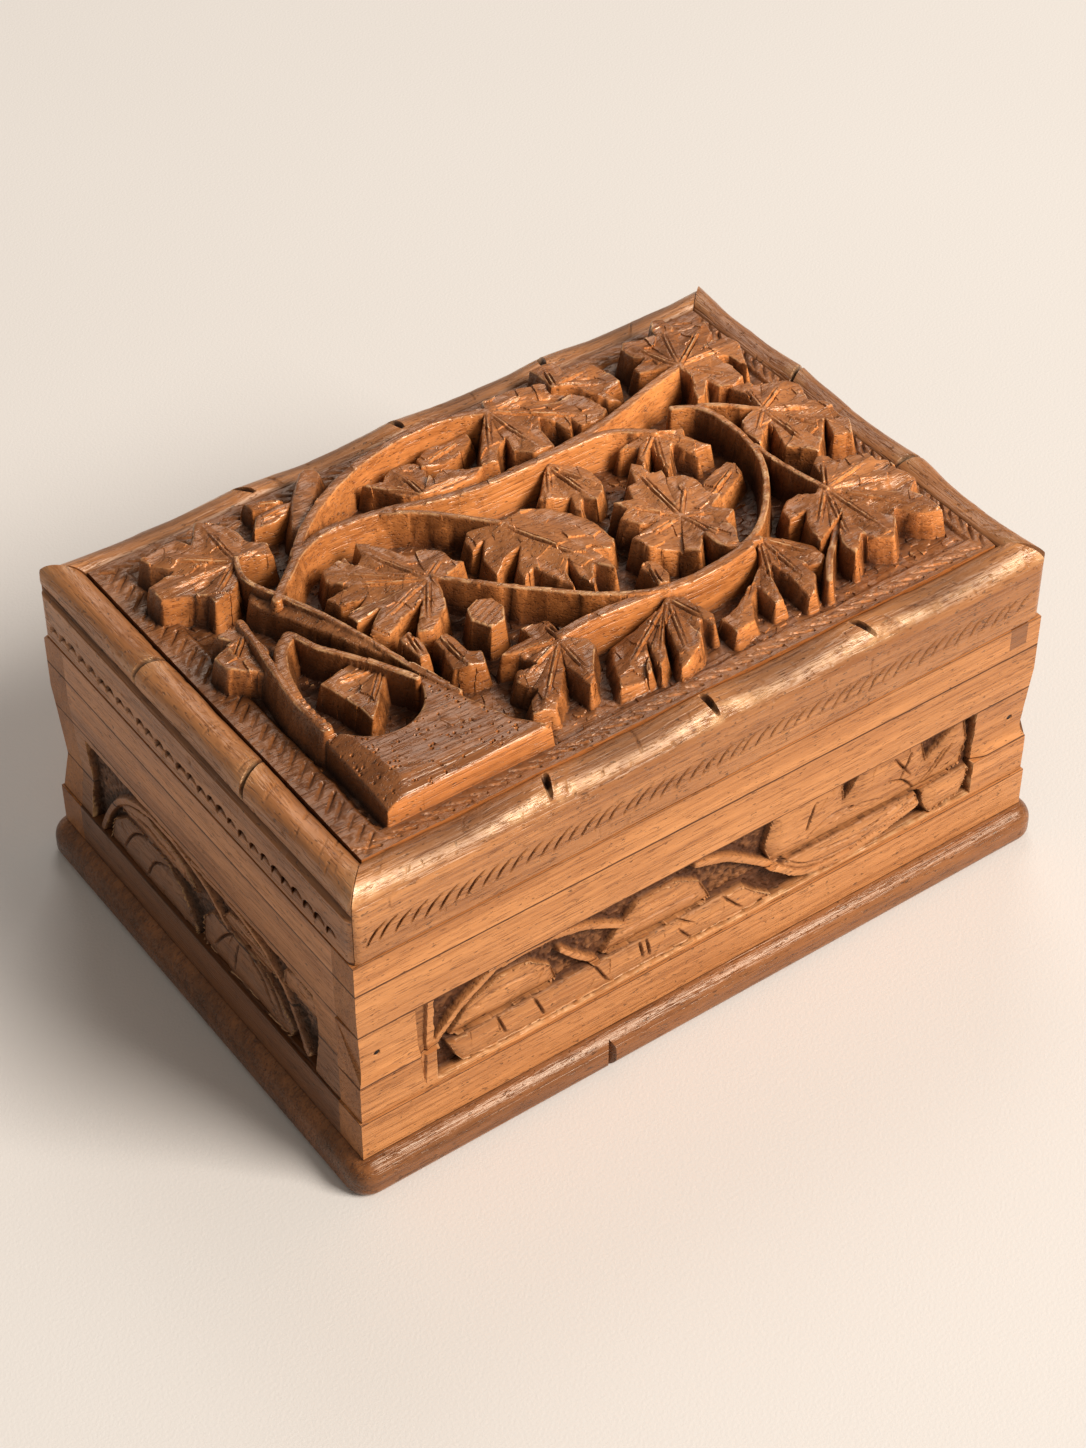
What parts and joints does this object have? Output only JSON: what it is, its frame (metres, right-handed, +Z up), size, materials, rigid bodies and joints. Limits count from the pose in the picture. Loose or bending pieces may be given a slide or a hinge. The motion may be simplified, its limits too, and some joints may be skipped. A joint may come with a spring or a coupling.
{
  "type": "carved wooden box",
  "caption": "Rectangular walnut box with a hinged lid carved in deep leaf-and-vine relief, coved carved walls, a rounded base and a strip in the front wall that slides aside.",
  "frame": {"origin": "middle of the base's underside", "axes": "+Z up, +X along the front to the right, -Y towards the front, +Y towards the hinged back"},
  "size_m": [0.208, 0.145, 0.1029],
  "materials": {
    "walnut_lid": "oiled",
    "walnut_wall": "oiled",
    "walnut_base": "oiled",
    "plain_wood": "bare",
    "hinge_brass": "dull",
    "nail_iron": "dark"
  },
  "bodies": {
    "box": {"base_board": "walnut_base", "bottom_rail_front": "walnut_wall", "bottom_rail_back": "walnut_wall", "bottom_rail_left": "walnut_wall", "bottom_rail_right": "walnut_wall", "front_carved_panel": "walnut_wall", "left_carved_panel": "walnut_wall", "right_carved_panel": "walnut_wall", "back_panel": "walnut_wall", "upper_rail_front": "walnut_wall", "upper_rail_back": "walnut_wall", "upper_rail_left": "walnut_wall", "upper_rail_right": "walnut_wall", "top_rail_front": "walnut_wall", "top_rail_back": "walnut_wall", "top_rail_left": "walnut_wall", "top_rail_right": "walnut_wall", "rail_patch": "plain_wood", "wall_nails_front": "nail_iron", "wall_nails_back": "nail_iron", "base_screws": "nail_iron", "false_floor": "plain_wood", "floor_cleat_left": "plain_wood", "floor_cleat_right": "plain_wood", "slide_stop_peg": "hinge_brass", "hinge_leaf_body_left": "hinge_brass", "hinge_leaf_body_right": "hinge_brass", "hinge_pin_left": "hinge_brass", "hinge_pin_right": "hinge_brass", "hinge_screws_body": "hinge_brass"},
    "strip": {"front_slide": "walnut_wall"},
    "lid": {"lid_panel": "walnut_lid", "lid_moulding_front": "walnut_lid", "lid_moulding_back": "walnut_lid", "lid_moulding_left": "walnut_lid", "lid_moulding_right": "walnut_lid", "hinge_leaf_lid_left": "hinge_brass", "hinge_leaf_lid_right": "hinge_brass", "hinge_screws_lid": "hinge_brass"}
  },
  "joints": [
    {"name": "lid_hinge", "type": "hinge", "parent": "box", "child": "lid", "pos_m": [0, 0.0664, 0.07315], "axis": [-1, 0, 0], "range_deg": [0, 98]},
    {"name": "strip_slide", "type": "slide", "parent": "box", "child": "strip", "axis": [1, 0, 0], "range_m": [0, 0.06]}
  ]
}
